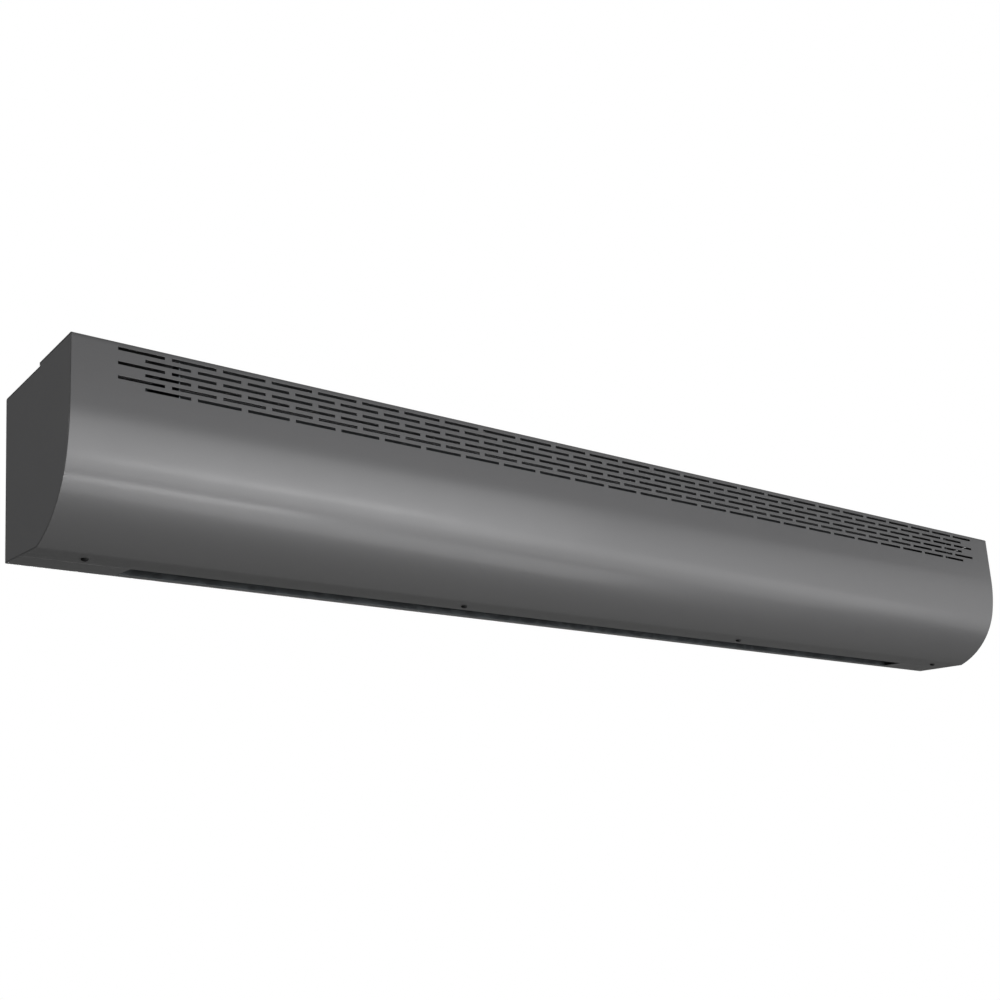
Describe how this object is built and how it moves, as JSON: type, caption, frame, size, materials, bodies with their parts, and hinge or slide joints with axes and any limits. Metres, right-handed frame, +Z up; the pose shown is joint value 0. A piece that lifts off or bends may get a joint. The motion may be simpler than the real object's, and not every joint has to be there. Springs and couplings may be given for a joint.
{
  "type": "heated wall-mounted air curtain",
  "caption": "Wall-mounted heated air curtain: slotted graphite steel cover with a curved front, a narrow downward outlet, cross-flow wheels, heater rods and a cut-out with a reset button.",
  "frame": {"origin": "middle of the flat back that lies against the wall, half-way up the rear casing", "axes": "+X along the unit, to the right when the front is looked at; +Y into the wall; +Z up"},
  "size_m": [1.5, 0.1599, 0.1888],
  "materials": {
    "graphite_paint": "satin",
    "zinc_sheet": "satin",
    "aluminium": "satin",
    "cast_housing": "satin",
    "steel": "polished",
    "heater_sheath": "satin",
    "bronze": "satin",
    "brass": "satin",
    "black_rubber": "matte",
    "ceramic": "matte",
    "black_plastic": "matte",
    "white_plastic": "matte",
    "red_plastic": "gloss",
    "board_green": "satin",
    "relay_blue": "satin",
    "screw_black": "satin",
    "lead_sleeve": "matte"
  },
  "bodies": {
    "casing": {"rear_casing": "graphite_paint", "front_cover": "graphite_paint", "left_end_plate": "graphite_paint", "right_end_plate": "graphite_paint", "base_rail": "zinc_sheet", "cover_screw_1": "screw_black", "cover_screw_2": "screw_black", "cover_screw_3": "screw_black", "cover_screw_4": "screw_black", "cable_gland": "black_plastic", "gland_locknut": "black_plastic", "fan_scroll": "zinc_sheet", "outlet_guide": "zinc_sheet", "left_bulkhead": "zinc_sheet", "right_bulkhead": "zinc_sheet", "motor_housing": "cast_housing", "motor_cradle": "zinc_sheet", "left_motor_ring": "black_rubber", "right_motor_ring": "black_rubber", "left_bearing": "bronze", "right_bearing": "bronze", "left_bearing_grommet": "black_rubber", "right_bearing_grommet": "black_rubber", "heater_rod_1": "heater_sheath", "left_rod_bush_1": "ceramic", "right_rod_bush_1": "ceramic", "heater_rod_2": "heater_sheath", "left_rod_bush_2": "ceramic", "right_rod_bush_2": "ceramic", "heater_rod_3": "heater_sheath", "left_rod_bush_3": "ceramic", "right_rod_bush_3": "ceramic", "left_rod_support": "zinc_sheet", "right_rod_support": "zinc_sheet", "star_bar": "brass", "cutout_body": "black_plastic", "control_tray": "zinc_sheet", "relay_board": "board_green", "relay_1": "relay_blue", "relay_2": "relay_blue", "relay_3": "relay_blue", "terminal_block": "white_plastic", "earth_screw": "brass", "run_capacitor": "aluminium", "capacitor_clip": "zinc_sheet", "motor_lead": "lead_sleeve", "heater_lead_1": "lead_sleeve", "heater_lead_2": "lead_sleeve", "heater_lead_3": "lead_sleeve", "supply_lead_1": "lead_sleeve", "supply_lead_2": "lead_sleeve", "supply_lead_3": "lead_sleeve"},
    "rotor": {"motor_shaft": "steel", "left_impeller": "aluminium", "right_impeller": "aluminium", "left_stub_shaft": "steel", "right_stub_shaft": "steel"},
    "reset_button": {"cutout_button": "red_plastic"}
  },
  "joints": [
    {"name": "fan_spin", "type": "hinge", "parent": "casing", "child": "rotor", "pos_m": [0, -0.072, 0.016], "axis": [1, 0, 0], "continuous": true},
    {"name": "reset_press", "type": "slide", "parent": "casing", "child": "reset_button", "axis": [1, 0, 0], "range_m": [0, 0.0015], "stiffness_N_per_m": 800}
  ]
}
